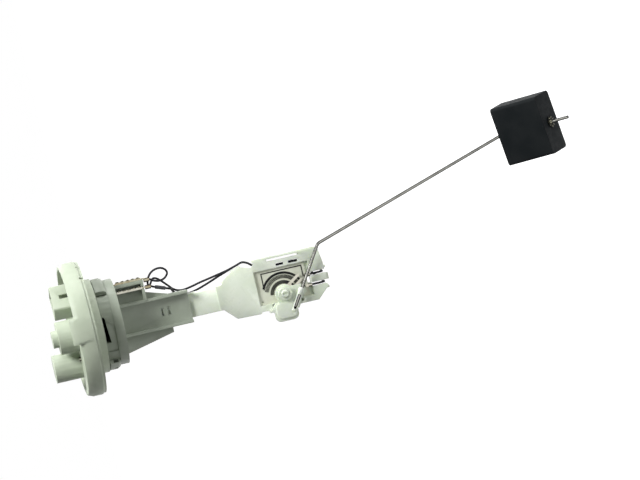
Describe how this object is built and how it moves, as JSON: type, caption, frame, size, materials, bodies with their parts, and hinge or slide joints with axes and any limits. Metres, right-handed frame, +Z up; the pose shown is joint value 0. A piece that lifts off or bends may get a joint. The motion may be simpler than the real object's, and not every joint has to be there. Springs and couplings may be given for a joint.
{
  "type": "fuel level sender",
  "caption": "Tank-top fuel level sender: flange cap with connector, stem bracket with resistor card and rotor, and a bent wire arm carrying a foam float.",
  "frame": {"origin": "on the spigot's axis, level with the flange's underside, where it seats on the tank's neck", "axes": "+Z up out of the tank along the stem, +X towards the side on which the float swings up, -Y towards the side with the rotor and resistor card"},
  "size_m": [0.1376, 0.094, 0.3829],
  "materials": {
    "flange_plastic": "satin moulded, light greenish grey",
    "carrier_plastic": "satin moulded, grey green",
    "natural_plastic": "translucent natural moulding",
    "card_ceramic": "matt cream ceramic",
    "track_ink": "printed black resistor ink",
    "track_silver": "printed grey conductor",
    "tinned_brass": "tinned, lightly tarnished",
    "contact_spring": "bright spring strip",
    "steel_wire": "drawn bright wire",
    "float_foam": "fine closed-cell foam, satin",
    "lead_insulation": "smooth black insulation",
    "sleeve_plastic": "dark grey shrink sleeve"
  },
  "bodies": {
    "carrier": {"flange_cap": "flange_plastic", "pin_a": "tinned_brass", "pin_b": "tinned_brass", "carrier_arm": "carrier_plastic", "terminal_a": "tinned_brass", "terminal_b": "tinned_brass", "sender_bracket": "natural_plastic", "resistor_card": "card_ceramic", "outer_track": "track_ink", "contact_segments": "track_silver", "inner_track": "track_silver", "card_tab_a": "tinned_brass", "card_tab_b": "tinned_brass", "lead_a": "lead_insulation", "lead_b": "lead_insulation", "lead_sleeve": "sleeve_plastic"},
    "float_arm": {"rotor": "natural_plastic", "wiper": "contact_spring", "float_wire": "steel_wire", "push_nut": "steel_wire"},
    "float": {"float_block": "float_foam"}
  },
  "joints": [
    {"name": "arm_swing", "type": "hinge", "parent": "carrier", "child": "float_arm", "pos_m": [-0.0072, 0, -0.136], "axis": [0, -1, 0], "range_deg": [0, 95]},
    {"name": "float_spin", "type": "hinge", "parent": "float_arm", "child": "float", "pos_m": [0.06641, -0.0065, -0.30814], "axis": [0.0534, -0.6428, -0.7642], "continuous": true}
  ]
}
